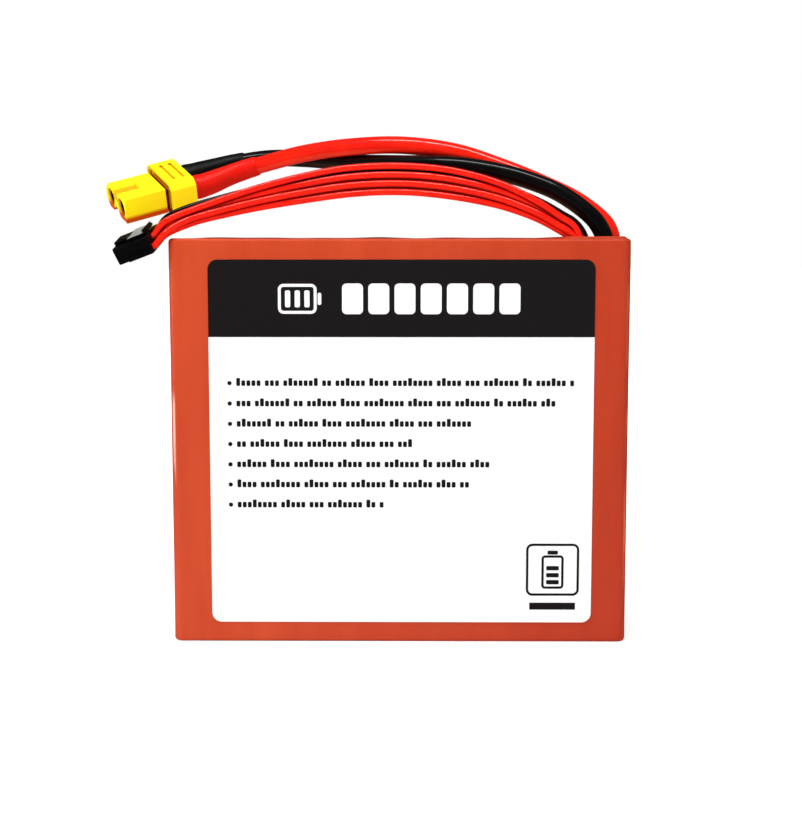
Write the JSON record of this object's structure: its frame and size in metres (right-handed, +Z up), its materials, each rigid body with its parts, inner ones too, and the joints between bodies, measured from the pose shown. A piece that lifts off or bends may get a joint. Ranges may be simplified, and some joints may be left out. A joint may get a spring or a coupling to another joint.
{
  "type": "lithium polymer battery pack",
  "caption": "Rectangular shrink-sleeved battery pack with a front label, an arched pair of power leads with a yellow plug, and an arched balance lead with a latching plug.",
  "frame": {"origin": "centre of the pack body's bottom face, which it stands on", "axes": "+X along the pack's width towards the end where the leads leave, +Y through its thickness away from the label, +Z up its height"},
  "size_m": [0.1355, 0.0498, 0.1284],
  "materials": {
    "sleeve_pvc": "semi-gloss shrink film",
    "label_film": "printed satin film",
    "fibre_board": "matte",
    "insulating_paper": "matte",
    "amber_tape": "gloss amber film",
    "pouch_foil": "satin laminated foil",
    "pad_foam": "soft matte",
    "tab_aluminium": "satin",
    "tab_nickel": "satin",
    "circuit_board": "solder mask",
    "copper": "satin copper",
    "solder": "bright",
    "tinned_strands": "stranded, tinned",
    "red_silicone": "glossy silicone",
    "black_silicone": "glossy silicone",
    "red_shrink": "satin shrink tube",
    "black_shrink": "satin shrink tube",
    "yellow_nylon": "moulded, satin",
    "gold_contact": "gold plated",
    "black_nylon": "moulded",
    "latch_nylon": "moulded, polished by use",
    "terminal_bronze": "tin plated bronze"
  },
  "bodies": {
    "pack": {"shrink_sleeve": "sleeve_pvc", "front_label": "label_film", "front_board": "fibre_board", "back_board": "fibre_board", "left_board": "fibre_board", "right_board": "fibre_board", "bottom_board": "fibre_board", "top_board": "fibre_board", "insulating_sheet": "insulating_paper", "stack_tape": "amber_tape", "cell_1": "pouch_foil", "cell_2": "pouch_foil", "cell_3": "pouch_foil", "cell_4": "pouch_foil", "cell_5": "pouch_foil", "cell_6": "pouch_foil", "cell_pads": "pad_foam", "positive_tabs": "tab_aluminium", "negative_tabs": "tab_nickel", "tab_board": "circuit_board", "board_pads": "copper", "solder_joints": "solder", "lead_strands": "tinned_strands", "positive_lead_root": "red_silicone", "negative_lead_root": "black_silicone", "balance_roots": "red_silicone", "balance_tails": "tinned_strands"},
    "main_lead": {"positive_lead": "red_silicone", "negative_lead": "black_silicone"},
    "main_plug": {"positive_lead_end": "red_silicone", "negative_lead_end": "black_silicone", "positive_shrink_tube": "red_shrink", "negative_shrink_tube": "black_shrink", "plug_strands": "tinned_strands", "plug_housing": "yellow_nylon", "plug_cap": "yellow_nylon", "positive_contact": "gold_contact", "negative_contact": "gold_contact"},
    "balance_lead": {"balance_wire_1": "black_silicone", "balance_wire_2": "red_silicone", "balance_wire_3": "red_silicone", "balance_wire_4": "red_silicone", "balance_wire_5": "red_silicone", "balance_wire_6": "red_silicone", "balance_wire_7": "red_silicone", "balance_terminals": "terminal_bronze", "balance_housing": "black_nylon"},
    "balance_latch": {"balance_latch": "latch_nylon"}
  },
  "joints": [
    {"name": "main_lead_bend", "type": "hinge", "parent": "pack", "child": "main_lead", "pos_m": [0.0529, 0, 0.1038], "axis": [0, 1, 0], "range_deg": [0, 60]},
    {"name": "main_plug_bend", "type": "hinge", "parent": "main_lead", "child": "main_plug", "pos_m": [-0.03894, 0.01355, 0.12258], "axis": [0.5052, -0.8458, -0.1716], "range_deg": [-18, 12]},
    {"name": "balance_lead_bend", "type": "hinge", "parent": "pack", "child": "balance_lead", "pos_m": [0.0451, 0, 0.1036], "axis": [0, 1, 0], "range_deg": [0, 60]},
    {"name": "latch_press", "type": "hinge", "parent": "balance_lead", "child": "balance_latch", "pos_m": [-0.06525, -0.02115, 0.10263], "axis": [0.1279, 0.9333, 0.3355], "range_deg": [0, 4], "stiffness_Nm_per_rad": 0.05}
  ]
}
